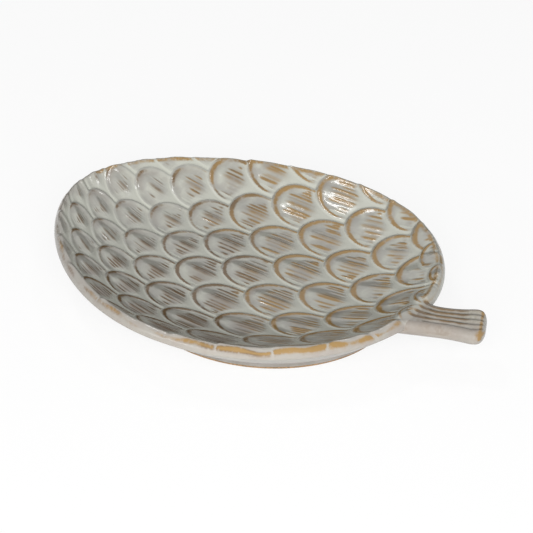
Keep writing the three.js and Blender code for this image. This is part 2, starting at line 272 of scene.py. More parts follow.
# Glaze on the lip, in shares of the crest's inset where no other unit is named
ON_LIP = (0.6, 1.5)
LIP_EDGE, LIP_TONE, LIP_WARM = 0.85, 0.25, 0.9
LIP_BAND = 0.42  # middle of the worn, golden band
LIP_BAND_WIDTH = 0.26
LIP_BAND_LEAST, LIP_BAND_GAIN = 0.6, 0.7
LIP_WORN = (30.0, 55.0)  # x over which the band grows strong, from the middle towards the stem
LIP_STEM = (-14.0, -4.0)  # y over which it ends at the stem
LIP_WAVES = ((0.6, 11, 0.7), (0.4, 29, 2.0))  # weight, waves round the rim and phase of its wandering
LIP_WANDER_PLACE, LIP_WANDER_WIDTH, LIP_WANDER_WEIGHT = 0.18, 0.1, 0.2
LIP_BREAK = (0.6, 0.95)  # pooled glaze between the scales breaks it
LIP_BREAK_WEIGHT = 0.8
FAR_LINE = 1.2  # brown line along the far rim
FAR_LINE_WIDTH = 0.4
FAR_LINE_WEIGHT = 0.8
LIP_GLOSS = 0.6  # share of the pooled glaze's softness lost on the lip
LILAC_LEVEL = 0.8
LILAC_REACH = (0.0, 30.0)  # y over which the thin lilac glaze of the near lip ends
WALL_GLAZE = {"edge": 0.0, "streak": 0.0, "pool": 0.6, "tone": 0.4, "warm": 0.9, "lilac": 0.6}

# Light and floor
WORLD_LIGHT = 0.2  # share of the level at which a colour renders as it is written
LAMPS = (  # name, place, size, power and whether the glaze mirrors it
    ("front_key", (0.815, -0.85, 0.55), (1.0, 0.8), 26.5, False),
    ("side_strip", (-0.16, -1.13, 0.37), (0.9, 0.06), 2.0, True),
    ("left_window", (-0.62, 0.0, 1.13), (0.17, 0.17), 1.5, True),
    ("back_window", (0.05, 0.65, 1.13), (0.16, 0.16), 1.0, True),
)
FLOOR_SIZE = 6.0
FLOOR_DROP = -0.00005  # keeps the floor clear of the foot's flat underside
FLOOR_WHITE = 0.85  # how far the floor is seen as plain white

# Dark card that only the glaze mirrors
CARD_DISTANCE = 0.9
CARD_WIDTH = 1.5
CARD_HEIGHT = 0.45

# Camera
CAMERA_AZIMUTH = math.radians(43.8)
CAMERA_ELEVATION = math.radians(30.1)
CAMERA_DISTANCE = 825.0  # from the middle of the rim
CAMERA_LENS = 146.4
CAMERA_SENSOR = 36.0
CAMERA_AIM = (0.01282, -0.01089)  # right and up of the rim's middle, as slopes


def smoothstep(low, high, value):
    share = np.clip((value - low) / (high - low), 0, 1)
    return share * share * (3 - 2 * share)


def smooth_max(a, b, width):
    return np.maximum(a, b) + np.maximum(width - np.abs(a - b), 0) ** 2 / (4 * width)


# Egg outline


def egg_width(t):
    return np.sin(t) * (1 + EGG_BIAS * np.cos(t) - EGG_FULLNESS * np.cos(2 * t))


EGG_ANGLES = np.linspace(0, 2 * math.pi, 1440, endpoint=False)
EGG_WIDEST = egg_width(EGG_ANGLES).max()


def egg_points(t):
    return np.stack([BOWL_LENGTH / 2 * np.cos(t), BOWL_WIDTH / 2 * egg_width(t) / EGG_WIDEST], -1)


def egg_normals(t):
    step = 1e-4
    tangent = egg_points(t + step) - egg_points(t - step)
    normal = np.stack([tangent[..., 1], -tangent[..., 0]], -1)
    return normal / np.linalg.norm(normal, axis=-1, keepdims=True)


def inset_of(x, y):
    """Distance inwards from the outline, negative outside it."""
    points, normals = egg_points(EGG_ANGLES), egg_normals(EGG_ANGLES)
    insets = np.empty(len(x))
    block = 4000
    for start in range(0, len(x), block):
        part = slice(start, start + block)
        away = points[None] - np.stack([x[part], y[part]], -1)[:, None]
        nearest = (away**2).sum(-1).argmin(1)
        insets[part] = (away[np.arange(len(nearest)), nearest] * normals[nearest]).sum(-1)
    return insets


# Bowl surfaces


def inner_height(inset):
    """The plain inside under the scales, with the rounded lip outside the crest."""
    floor_top = FOOT_HEIGHT + FLOOR_THICKNESS
    share = np.clip((inset - RIM_CREST_INSET) / WALL_REACH, 0, 1)
    wall = floor_top + (RIM_HEIGHT - floor_top) * (1 - share) ** WALL_CURVE
    out = np.clip((RIM_CREST_INSET - inset) / RIM_CREST_INSET, 0, 1)
    return wall - RIM_DROP * (1 - np.sqrt(1 - out**2))


def wall_stations():
    """Inset, height and shift along the axis of rings down the outer wall, from lip to foot seat."""
    seat = np.array([FOOT_INSET - FOOT_SEAT_MARGIN, FOOT_HEIGHT])
    lip = np.array([0.0, RIM_HEIGHT - RIM_DROP - LIP_DEPTH])
    corner = np.array([lip[0], seat[1]])
    belly = (seat + lip) / 2 * (1 - WALL_BELLY) + corner * WALL_BELLY
    stations = []
    for share in np.linspace(0, 1, WALL_RINGS):
        inset, z = (1 - share) ** 2 * lip + 2 * share * (1 - share) * belly + share**2 * seat
        stations.append((inset, z, FOOT_SHIFT * (lip[1] - z) / (lip[1] - seat[1])))
    return stations


# Scale relief


def lattice_place(along, across):
    x = (
        PATTERN_X + PITCH_ALONG * along + ROW_SKEW * across + SKEW_DRIFT * along * across - ROW_BOW * across**2
        - END_CLOSING_ALONG * along**3 - MIDDLE_DRAW * np.exp(-(along**2))
    )
    y = (
        PATTERN_Y + ROW_LEAN * along - PITCH_ACROSS * across + AXIS_BOW * along**2 - ROW_FAN * along * across
        + ROW_DRIFT * across**2 + END_CLOSING_ACROSS * along**2 * across + SIDE_CLOSING * across**3
    )
    return x, y


def lattice_slopes(along, across):
    """How x and y change along and across the lattice."""
    drawn = 2 * MIDDLE_DRAW * along * np.exp(-(along**2))
    x_along = PITCH_ALONG + SKEW_DRIFT * across - 3 * END_CLOSING_ALONG * along**2 + drawn
    x_across = ROW_SKEW + SKEW_DRIFT * along - 2 * ROW_BOW * across
    y_along = ROW_LEAN + 2 * AXIS_BOW * along - ROW_FAN * across + 2 * END_CLOSING_ACROSS * along * across
    closing = END_CLOSING_ACROSS * along**2 + 3 * SIDE_CLOSING * across**2
    y_across = -PITCH_ACROSS - ROW_FAN * along + 2 * ROW_DRIFT * across + closing
    return x_along, x_across, y_along, y_across


def lattice_coordinates(x, y):
    """The lattice place of points on the plan, by Newton's method, and the local pitch each way."""
    along = (x - PATTERN_X) / PITCH_ALONG
    across = -(y - PATTERN_Y) / PITCH_ACROSS
    for _ in range(NEWTON_STEPS):
        off_x, off_y = lattice_place(along, across)
        x_along, x_across, y_along, y_across = lattice_slopes(along, across)
        area = x_along * y_across - x_across * y_along
        along = along - ((off_x - x) * y_across - (off_y - y) * x_across) / area
        across = across - ((off_y - y) * x_along - (off_x - x) * y_along) / area
    x_along, x_across, y_along, y_across = lattice_slopes(along, across)
    return along, across, np.hypot(x_along, y_along), np.hypot(x_across, y_across)


def scale_places():
    """Lattice places of the full scales' free ends."""
    places = []
    reach = 2 * PATTERN_REACH
    for i in range(-reach, reach + 1):
        for j in range(-reach, reach + 1):
            place = ((i + j) / 2, (i - j) / 2)
            x, y = lattice_place(*place)
            crowded = y > 0 and x > SMALL_CORNER[0] - SMALL_CORNER[1] * y
            if math.hypot(*place) <= PATTERN_REACH and not crowded:
                places.append(place)
    return places


def scale_offsets(x, y, along, across, pitch_along, pitch_across):
    """For each scale: how far points lie back from its free end and aside of it, in its own pitches, and its size.

    The full scales keep to the lattice. The small ones that crowd beside the stem are short and turn to the middle.
    """
    for scale_along, scale_across in scale_places():
        yield along - scale_along, across - scale_across, 1.0
    ahead, sideways = math.cos(SMALL_HEADING), math.sin(SMALL_HEADING)
    for scale_x, scale_y, size in SMALL_SCALES:
        back = (x - scale_x) * ahead + (y - scale_y) * sideways
        aside = (x - scale_x) * sideways - (y - scale_y) * ahead
        yield back / (SMALL_SHORTNESS * size * pitch_along), aside / (size * pitch_across), size


def edge_distance(back, side, pitch_along, pitch_across):
    """Millimetres inwards from a scale's outline: a half ellipse at the free end, then straight sides."""
    ahead = np.maximum(SCALE_ARCH - back, 0) / SCALE_ARCH
    aside = np.abs(side) / SCALE_HALF_WIDTH
    reach = np.maximum(np.hypot(ahead, aside), 1e-6)
    slope = np.hypot(ahead / (SCALE_ARCH * pitch_along), aside / (SCALE_HALF_WIDTH * pitch_across)) / reach
    return (1 - reach) / np.maximum(slope, 1e-6)


def bump(value, middle, width):
    return np.exp(-(((value - middle) / width) ** 2))


def scale_surface(back, aside, inside):
    """Height of one scale, by pitches back of its free end, half widths aside and millimetres inside its edge."""
    rise = SCALE_FREE_RISE + (SCALE_BASE_RISE - SCALE_FREE_RISE) * np.maximum(back, 0) / SCALE_REACH
    rise = rise * (1 - NEAR_SIDE_DROP * smoothstep(*NEAR_SIDE_BAND, aside))
    keel = bump(aside, 0, KEEL_SPREAD) * smoothstep(*KEEL_START, inside)
    keel = keel * (1 - smoothstep(*BASE_FADE, back))
    rise = rise + KEEL_RISE * keel + EDGE_RIDGE * bump(inside, EDGE_LINE_INSET, EDGE_LINE_WIDTH)
    rise = rise - DISHED_DEPTH * bump(inside, DISHED_INSET, DISHED_WIDTH)
    return rise - SCALE_FLANK / 2 * (np.sqrt(inside**2 + SCALE_EDGE_SOFTNESS**2) - inside)


def streak_lines(aside, behind, owner, count, warm):
    """Mask of the hand-pressed streaks, drawn anew for each of the scales that own the points."""
    chance = np.random.default_rng(SEED)
    draws = (count, len(STREAK_PLACES))
    shift = chance.normal(0, STREAK_JITTER, draws)
    start = chance.uniform(*STREAK_START, draws)
    weight = chance.uniform(*STREAK_WEIGHT, draws)
    streak = np.zeros(len(aside))
    for n, place in enumerate(STREAK_PLACES):
        line = bump(aside, place + shift[owner, n], STREAK_WIDTH * (1 + STREAK_WARM_GAIN * warm))
        grown = smoothstep(0, STREAK_TAPER, behind - start[owner, n])
        streak = np.maximum(streak, weight[owner, n] * line * grown)
    return streak


def relief(x, y):
    """Height of the scales over the plain inside, and the glaze masks that follow from it."""
    along, across, pitch_along, pitch_across = lattice_coordinates(x, y)
    count = len(x)
    height = np.zeros(count)
    best = np.full(count, -np.inf)
    owner = np.zeros(count, int)
    aside, back, distance = np.zeros(count), np.ones(count), np.full(count, FAR_AWAY)
    steps = []
    sizes = []
    scales = scale_offsets(x, y, along, across, pitch_along, pitch_across)
    for index, (off_along, off_across, size) in enumerate(scales):
        sizes.append(size)
        reached = (off_along > -SCALE_AHEAD) & (off_along < SCALE_REACH) & (np.abs(off_across) < SCALE_ASIDE)
        near = np.flatnonzero(reached)
        if not len(near):
            continue
        here_back, here_aside = off_along[near], off_across[near] / SCALE_HALF_WIDTH
        inside = edge_distance(here_back, off_across[near], size * pitch_along[near], size * pitch_across[near])
        surface = scale_surface(here_back, here_aside, inside)
        height[near] = smooth_max(height[near], surface, SCALE_BLEND)
        outside = inside < 0
        steps.append((near[outside], here_back[outside], -inside[outside]))
        wins = surface > best[near]
        won = near[wins]
        best[won] = surface[wins]
        owner[won] = index
        aside[won], back[won], distance[won] = here_aside[wins], here_back[wins], inside[wins]
    step_away = np.full(count, FAR_AWAY)
    for near, here_back, away in steps:
        over = here_back < back[near]
        step_away[near[over]] = np.minimum(step_away[near[over]], away[over])
    size = np.array(sizes)[owner]
    arch = SCALE_ARCH * (1 - np.sqrt(np.clip(1 - aside**2, 0, 1)))
    behind = (back - arch) * pitch_along
    soft = 1 - smoothstep(*SOFT_TIP, x + SOFT_LEAN * np.maximum(y - SOFT_SIDE, 0))
    warm = smoothstep(*WARM_REACH, WARM_SLOPE[0] * x + WARM_SLOPE[1] * y)
    plain = 1 - smoothstep(*BASE_FADE, back)
    clear = smoothstep(*POOL_CLEAR, step_away - soft) * plain
    streak = streak_lines(aside, behind, owner, len(sizes), warm)
    keel = bump(aside, 0, KEEL_LINE_WIDTH) * smoothstep(*KEEL_LINE_START, behind * size)
    apex = bump(aside, 0, APEX_WIDTH) * bump(distance, APEX_INSET * size, APEX_DEPTH * size)
    run_out = np.where(aside < 0, LINE_FAR_REACH, LINE_NEAR_REACH)
    sides = 1 - smoothstep(run_out, run_out + LINE_FADE, back) - 0.9 * soft * smoothstep(0.2, 0.75, np.abs(aside))
    width = LINE_THICK - (LINE_THICK - LINE_THIN) * smoothstep(0, LINE_THINNED, back)
    width = EDGE_LINE_WIDTH * width * (0.9 + 0.3 * warm) * np.sqrt(size)
    line = bump(distance, LINE_INSET + 0.5 * width, width) * np.clip(sides, 0, 1)
    shade = smoothstep(*SHADE_START, behind) * (SHADE_LEVEL + SHADE_KEEL * bump(aside, SHADE_PLACE, SHADE_WIDTH))
    # painted light in part: less mauve towards the stem's end lightens the end wall that the key lamp leaves in
    # shade, besides the glaze being paler there
    shade = shade * (1 - 0.55 * warm) * (1 - 0.65 * soft) * (1 - 0.5 * smoothstep(*STEM_END_PALE_AND_PAINTED_LIGHT, x))
    hollow = bump(aside, HOLLOW_PLACE, HOLLOW_WIDTH) * bump(distance, HOLLOW_INSET * size, HOLLOW_DEPTH * size)
    valley = np.exp(-((step_away / POOL_WIDTH) ** 2)) * (distance > 0.2)
    return {
        "height": height + STREAK_RISE * np.maximum(streak, keel) * clear,
        "edge": np.maximum(line, APEX_WEIGHT * apex) * smoothstep(*LINE_CLEAR, step_away) * (1 - 0.25 * soft),
        "streak": np.maximum(streak * (1 - 0.4 * soft), KEEL_LINE_WEIGHT * keel) * clear,
        "pool": np.maximum(valley, 1 - plain),
        "valley": valley,
        "tone": np.maximum(shade * clear, HOLLOW_WEIGHT * hollow),
        "warm": warm,
    }


# Stem surface


def stem_line(distance):
    """Places on the stem's bent middle line and its heading there, by distance from its raw root."""
    total = STEM_ROOT_DEPTH + STEM_LENGTH
    turn = STEM_END_ANGLE - STEM_START_ANGLE
    radius = total / turn
    heading = STEM_START_ANGLE + turn * distance / total
    x = BOWL_LENGTH / 2 - STEM_ROOT_DEPTH + radius * (np.sin(heading) - math.sin(STEM_START_ANGLE))
    y = STEM_SIDE_OFFSET - radius * (np.cos(heading) - math.cos(STEM_START_ANGLE))
    return x, y, heading


def stem_coordinates(x, y):
    """Distance along the stem's middle line, and aside of it, of points on the plan."""
    total = STEM_ROOT_DEPTH + STEM_LENGTH
    turn = STEM_END_ANGLE - STEM_START_ANGLE
    radius = total / turn
    away_x = x - (BOWL_LENGTH / 2 - STEM_ROOT_DEPTH - radius * math.sin(STEM_START_ANGLE))
    away_y = y - (STEM_SIDE_OFFSET + radius * math.cos(STEM_START_ANGLE))
    heading = np.arctan2(away_x, -away_y)
    return (heading - STEM_START_ANGLE) * radius, radius - np.hypot(away_x, away_y)


def stem_half_widths(distance):
    """Half widths on the side the stem bends away from and on the side it bends to."""
    share = distance / (STEM_ROOT_DEPTH + STEM_LENGTH)
    widening = np.maximum((share - STEM_WAIST_PLACE) / (1 - STEM_WAIST_PLACE), 0) ** 2
    half = (STEM_WAIST_WIDTH + (STEM_END_WIDTH - STEM_WAIST_WIDTH) * widening) / 2
    from_rim = distance - STEM_ROOT_DEPTH
    near = half + STEM_NEAR_FLARE * np.maximum(1 - from_rim / STEM_NEAR_FLARE_LENGTH, 0) ** 2
    far = half + STEM_FAR_FLARE * np.maximum(1 - from_rim / STEM_FAR_FLARE_LENGTH, 0) ** 2
    return near, far


def stem_groove(across):
    """Share of the groove depth at a place across the flat top, from -1 to 1."""
    return 0.5 - 0.5 * np.cos(2 * math.pi * STEM_GROOVES * (across + 1) / 2)


def stem_glaze(across, top, shown):
    """Glaze masks across the stem: brown ridges on its top, thin lilac glaze on its near side."""
    groove = stem_groove(across)
    lined = shown * smoothstep(*STEM_LINED, across)
    return {
        "streak": STEM_LINE_WEIGHT * top * (1 - groove) ** STEM_LINE_SHARPNESS * lined,
        "pool": STEM_POOL + STEM_GROOVE_POOL * top * groove,
        "tone": STEM_TONE + STEM_SIDE_TONE * (1 - top) + STEM_FAR_TONE * top * (across + 1) / 2,
        "lilac": STEM_LILAC * (1 - smoothstep(*STEM_LILAC_END, across)),
    }


def root_across(x, y):
    """Places across the stem's top, from -1 to 1, of points on the plan, all of them on top and fully lined."""
    distance, aside = stem_coordinates(x, y)
    near_flat, far_flat = (half - STEM_EDGE_ROUND for half in stem_half_widths(np.maximum(distance, 0)))
    across = (aside - (far_flat - near_flat) / 2) / ((far_flat + near_flat) / 2)
    return np.clip(across, -1, 1), 1.0, 1.0


def stem_root(x, y, inset):
    """How far the bowl's rim gives way to the stem's root, from 0 to 1."""
    distance, aside = stem_coordinates(x, y)
    near, far = stem_half_widths(np.maximum(distance, 0))
    half = np.where(aside < 0, near, far)
    within = 1 - smoothstep(half - STEM_EDGE_ROUND, half + ROOT_SIDE, np.abs(aside))
    return within * (1 - smoothstep(*ROOT_BLEND, inset)) * (x > 0)


# Meshes


def make_mesh(name, points, faces, masks, material):
    """A smooth mesh object from points in the bowl's frame in millimetres, with its glaze masks."""
    mesh = bpy.data.meshes.new(name)
    mesh.from_pydata(((points + BOWL_MIDDLE) * MM).tolist(), [], faces)
    mesh.polygons.foreach_set("use_smooth", np.ones(len(mesh.polygons), bool))
    for mask, values in masks.items():
        attribute = mesh.attributes.new(mask, "FLOAT", "POINT")
        attribute.data.foreach_set("value", np.asarray(values, np.float32))
    mesh.materials.append(material)
    mesh.validate()
    mesh.update()
    piece = bpy.data.objects.new(name, mesh)
    bpy.context.scene.collection.objects.link(piece)
    return piece


def ring_faces(first, second, closed=True):
    """Quads between two rings of vertex numbers."""
    count = len(first)
    last = count if closed else count - 1
    return [(first[i], second[i], second[(i + 1) % count], first[(i + 1) % count]) for i in range(last)]


def square_to_disc(u, v):
    """Concentric map of the square to the unit disc, as radius and angle."""
    wide = np.abs(u) >= np.abs(v)
    safe_u = np.where(wide & (u != 0), u, 1)
    safe_v = np.where(~wide & (v != 0), v, 1)
    radius = np.where(wide, u, v)
    angle = np.where(wide, math.pi / 4 * v / safe_u, math.pi / 2 - math.pi / 4 * u / safe_v)
    return np.hypot(radius * np.cos(angle), radius * np.sin(angle)), np.arctan2(
        radius * np.sin(angle), radius * np.cos(angle)
    )


def worn_lip(x, y, inset, angle, open_rim):
    """Mask of the brown glaze on the rim: a wandering worn band on the lip and a line along the far rim."""
    wander = sum(weight * np.sin(waves * angle + phase) for weight, waves, phase in LIP_WAVES)
    middle = (LIP_BAND + LIP_WANDER_PLACE * wander) * RIM_CREST_INSET
    width = (LIP_BAND_WIDTH + LIP_WANDER_WIDTH * wander) * RIM_CREST_INSET
    grown = smoothstep(*LIP_WORN, x) * (1 - smoothstep(*LIP_STEM, y))
    band = bump(inset, middle, width) * (LIP_BAND_LEAST + LIP_BAND_GAIN * grown + LIP_WANDER_WEIGHT * wander)
    far = bump(inset, FAR_LINE * RIM_CREST_INSET, FAR_LINE_WIDTH * RIM_CREST_INSET) * (y > 0)
    return np.maximum(band, FAR_LINE_WEIGHT * far) * open_rim


def bowl_inside(x, y, inset, angle):
    """Heights and glaze masks of the bowl's inside, from the floor over the lip to the outline."""
    maps = relief(x, y)
    share = RIM_RELIEF + (1 - RIM_RELIEF) * smoothstep(0, RIM_RELIEF_REACH, inset - RIM_CREST_INSET)
    share = share * smoothstep(0, RIM_CREST_INSET, inset + RIM_RELIEF_END)
    root = stem_root(x, y, inset)
    left = ROOT_RELIEF * maps["height"] * smoothstep(*ROOT_RISE, inset)
    root_height = STEM_TOP + ROOT_SLOPE * (inset - STEM_EMBED) + left
    z = (inner_height(inset) + share * maps["height"]) * (1 - root) + root_height * root
    bare = root * (1 - smoothstep(*ROOT_SHOWN, inset))
    stem = stem_glaze(*root_across(x, y))
    open_rim = (1 - LIP_BREAK_WEIGHT * smoothstep(*LIP_BREAK, maps["valley"])) * (1 - root)
    lip_start, lip_end = (limit * RIM_CREST_INSET for limit in ON_LIP)
    on_lip = (1 - smoothstep(lip_start, lip_end, inset)) * (1 - root)
    lip = worn_lip(x, y, inset, angle, open_rim)
    scales_left = 1 - np.maximum(bare, on_lip)
    return z, {
        "edge": np.maximum(maps["edge"] * (1 - on_lip), LIP_EDGE * lip) * (1 - bare),
        "streak": maps["streak"] * scales_left + stem["streak"] * bare,
        "pool": maps["pool"] * (1 - np.maximum(bare, LIP_GLOSS * on_lip)) + stem["pool"] * bare,
        "tone": maps["tone"] * scales_left + stem["tone"] * bare + LIP_TONE * on_lip,
        "warm": np.maximum(maps["warm"], LIP_WARM * lip) * (1 - bare) + STEM_WARM * bare,
        "lilac": LILAC_LEVEL * on_lip * (1 - smoothstep(*LILAC_REACH, y)) + stem["lilac"] * bare,
    }


def dish_piece(material):
    """The whole bowl as one closed mesh: relief inside, smooth wall outside, flat underside."""
    side = RELIEF_CELLS + 1
    u, v = np.meshgrid(np.linspace(-1, 1, side), np.linspace(-1, 1, side))
    radius, angle = square_to_disc(u.ravel(), v.ravel())
    x, y = (egg_points(angle) * radius[:, None]).T
    inset = np.maximum(inset_of(x, y), 0)
    inset[radius > 1 - 1e-9] = 0
    z, masks = bowl_inside(x, y, inset, angle)
    points = [np.column_stack([x, y, z])]
    number = np.arange(side * side).reshape(side, side)
    cells = np.stack([number[:-1, :-1], number[:-1, 1:], number[1:, 1:], number[1:, :-1]], -1)
    faces = cells.reshape(-1, 4).tolist()
    border = np.concatenate([number[0, :-1], number[:-1, -1], number[-1, :0:-1], number[:0:-1, 0]])
    stations = wall_stations()
    stations.append((FOOT_INSET + FOOT_WIDTH, FOOT_HEIGHT, FOOT_SHIFT))
    above = border
    added = side * side
    for inset_here, z_here, shift in stations:
        place = egg_points(angle[border]) - egg_normals(angle[border]) * inset_here
        points.append(np.column_stack([place[:, 0] + shift, place[:, 1], np.full(len(border), z_here)]))
        here = np.arange(added, added + len(border))
        faces += ring_faces(above, here)
        added += len(border)
        above = here
    points.append(np.array([[FOOT_SHIFT, 0, FOOT_HEIGHT]]))
    faces += [(above[i], added, above[(i + 1) % len(above)]) for i in range(len(above))]
    outside = added + 1 - side * side
    masks = {mask: np.append(values, np.full(outside, WALL_GLAZE[mask])) for mask, values in masks.items()}
    return make_mesh("glazed_bowl", np.concatenate(points), faces, masks, material)


def foot_piece(material):
    """The foot ring with rounded lower edges."""
    inner = FOOT_INSET + FOOT_WIDTH
    quarter = np.linspace(0, math.pi / 2, 5)
    section = [(inner, FOOT_HEIGHT)]
    for turn in quarter:
        section.append((
            inner - FOOT_TAPER - FOOT_ROUND * (1 - math.cos(turn)),
            FOOT_ROUND * (1 - math.sin(turn)),
        ))
    for turn in quarter[::-1]:
        section.append((
            FOOT_INSET + FOOT_TAPER + FOOT_ROUND * (1 - math.cos(turn)),
            FOOT_ROUND * (1 - math.sin(turn)),
        ))
    section += [(FOOT_INSET + FOOT_TAPER * share, FOOT_HEIGHT * (1 - share)) for share in (0.6, 0.3, 0.0)]
    angles = np.linspace(0, 2 * math.pi, FOOT_STEPS, endpoint=False)
    points = []
    for inset, z in section:
        place = egg_points(angles) - egg_normals(angles) * inset
        points.append(np.column_stack([place[:, 0] + FOOT_SHIFT, place[:, 1], np.full(FOOT_STEPS, z)]))
    rings = np.arange(FOOT_STEPS * len(section)).reshape(len(section), FOOT_STEPS)
    faces = []
    for n in range(len(section)):
        faces += ring_faces(rings[(n + 1) % len(section)], rings[n])
    points = np.concatenate(points)
    return make_mesh("foot", points, faces, {"lift": points[:, 2]}, material)


def stem_section():
    """A ring of points across the stem, each as shares: across the flat, out and up round an edge, grooved."""
    turns = np.linspace(0, math.pi / 2, STEM_EDGE_POINTS)
    across = np.linspace(1, -1, STEM_TOP_POINTS)[1:-1]
    flat = len(across)

    def corner(side, rise, start, worn):
        return np.column_stack([
            np.full(len(turns), side), np.cos(start + turns), np.full(len(turns), rise), np.sin(start + turns),
            np.zeros(len(turns)), worn * np.sin(2 * turns),
        ])

    top = np.column_stack([
        across, np.zeros(flat), np.ones(flat), np.ones(flat), stem_groove(across), np.zeros(flat),
    ])
    ring = np.concatenate([
        corner(1, 1, 0, 1.0), top, corner(-1, 1, math.pi / 2, 1.0),
        corner(-1, -1, math.pi, STEM_UNDER_WORN), corner(1, -1, 1.5 * math.pi, STEM_UNDER_WORN),
    ])
    return dict(zip(("across", "out", "tall", "up", "groove", "worn"), ring.T))


def into_nose(distance):
    return np.clip((distance - STEM_ROOT_DEPTH - STEM_LENGTH + STEM_NOSE) / STEM_NOSE, 0, 1)


def stem_places(section, distance, left):
    """Places of a ring's points, each at its own distance, where the end leaves a share of the width."""
    nose = into_nose(distance)
    size = np.sqrt(1 - nose**2)
    edge_round = STEM_EDGE_ROUND * size
    near, far = stem_half_widths(distance)
    near_flat, far_flat = near * left - edge_round, far * left - edge_round
    aside = (far_flat - near_flat) / 2 + section["across"] * (far_flat + near_flat) / 2
    aside = aside + section["out"] * edge_round
    up = section["tall"] * (STEM_THICKNESS / 2 * size - edge_round) + section["up"] * edge_round
    deep = smoothstep(0, STEM_GROOVE_FADE, distance - STEM_ROOT_DEPTH) * (1 - nose) * left**2
    z = STEM_TOP - STEM_THICKNESS / 2 + up - STEM_GROOVE_DEPTH * deep * section["groove"]
    x, y, heading = stem_line(distance)
    return np.column_stack([x - aside * np.sin(heading), y + aside * np.cos(heading), z])


def stem_start(section):
    """Distance along the stem at which each point of the ring enters the bowl's outer wall."""
    stations = np.array(wall_stations())[::-1]
    count = len(section["across"])
    low, high = np.full(count, -STEM_ROOT_DEPTH), np.full(count, STEM_ROOT_DEPTH + STEM_LENGTH)
    for _ in range(HALVINGS):
        middle = (low + high) / 2
        x, y, z = stem_places(section, middle, 1.0).T
        inside = inset_of(x, y) > np.interp(z, stations[:, 1], stations[:, 0]) + STEM_EMBED
        low, high = np.where(inside, middle, low), np.where(inside, high, middle)
    return low


def stem_piece(material):
    """The bent, grooved stem, rooted in the bowl's wall."""
    straight = STEM_ROOT_DEPTH + STEM_LENGTH - STEM_END_DEPTH
    section = stem_section()
    count = len(section["across"])
    start = stem_start(section)
    stations = [(start + (straight - start) * n / STEM_RINGS, 1.0) for n in range(STEM_RINGS + 1)]
    for n in range(1, STEM_END_RINGS + 1):
        angle = STEM_END_SWEEP * n / STEM_END_RINGS
        distance = straight + STEM_END_DEPTH * math.sin(angle) ** (2 / STEM_END_SQUARENESS)
        stations.append((np.full(count, distance), math.cos(angle) ** (2 / STEM_END_SQUARENESS)))
    top = section["up"] * (section["out"] == 0)
    points = []
    masks = {"edge": [], "streak": [], "pool": [], "tone": [], "warm": [], "lilac": []}
    for distance, left in stations:
        points.append(stem_places(section, distance, left))
        share = (distance - STEM_ROOT_DEPTH) / STEM_LENGTH
        lined = 1 - smoothstep(*STEM_LINES_END, share)
        worn = section["worn"] * (STEM_WORN + STEM_END_WORN * smoothstep(*STEM_END_REACH, share))
        end = NOSE_LINE_WEIGHT * bump(into_nose(distance), NOSE_LINE, NOSE_LINE_WIDTH) * (section["up"] > 0)
        masks["edge"].append(np.maximum(worn, end))
        masks["warm"].append(STEM_WARM + STEM_END_WARM * smoothstep(*STEM_END_WARMED, share))
        for mask, values in stem_glaze(section["across"], top, lined).items():
            masks[mask].append(values)
    rings = np.arange(count * len(stations)).reshape(len(stations), count)
    faces = []
    for n in range(len(stations) - 1):
        faces += ring_faces(rings[n + 1], rings[n])
    faces.append(tuple(rings[0][::-1]))
    faces.append(tuple(rings[-1]))
    masks = {name: np.concatenate(values) for name, values in masks.items()}
    return make_mesh("glazed_stem", np.concatenate(points), faces, masks, material)


# Materials


class Shader:
    """A new node material and short ways to add and link nodes."""

    def __init__(self, name):
        self.material = bpy.data.materials.new(name)
        self.material.use_nodes = True
        self.nodes = self.material.node_tree.nodes
        self.links = self.material.node_tree.links
        self.surface = self.nodes["Principled BSDF"]

    def set(self, socket, value):
        if isinstance(value, bpy.types.NodeSocket):
            self.links.new(value, socket)
        else:
            socket.default_value = value

    def attribute(self, name):
        node = self.nodes.new("ShaderNodeAttribute")
        node.attribute_name = name
        return node.outputs["Fac"]

    def noise(self, scale, detail=3.0, distortion=0.0):
        place = self.nodes.new("ShaderNodeTexCoord")
        node = self.nodes.new("ShaderNodeTexNoise")
        node.inputs["Scale"].default_value = scale
        node.inputs["Detail"].default_value = detail
        node.inputs["Distortion"].default_value = distortion
        self.links.new(place.outputs["Object"], node.inputs["Vector"])
        return node.outputs["Fac"]

    def spread(self, value, low, high, to_low=0.0, to_high=1.0):
        node = self.nodes.new("ShaderNodeMapRange")
        node.interpolation_type = "SMOOTHSTEP"
        self.links.new(value, node.inputs["Value"])
        for name, number in (("From Min", low), ("From Max", high), ("To Min", to_low), ("To Max", to_high)):
            node.inputs[name].default_value = number
        return node.outputs["Result"]

    def math(self, operation, a, b):
        node = self.nodes.new("ShaderNodeMath")
        node.operation = operation
        self.set(node.inputs[0], a)
        self.set(node.inputs[1], b)
        return node.outputs[0]

    def mix(self, share, a, b):
        node = self.nodes.new("ShaderNodeMix")
        node.data_type = "RGBA"
        self.set(node.inputs["Factor"], share)
        for socket, colour in ((node.inputs[6], a), (node.inputs[7], b)):
            self.set(socket, colour if isinstance(colour, bpy.types.NodeSocket) else (*colour, 1.0))
        return node.outputs[2]

    def bump(self, height, strength, distance):
        node = self.nodes.new("ShaderNodeBump")
        node.inputs["Strength"].default_value = strength
        node.inputs["Distance"].default_value = distance
        self.links.new(height, node.inputs["Height"])
        return node.outputs["Normal"]


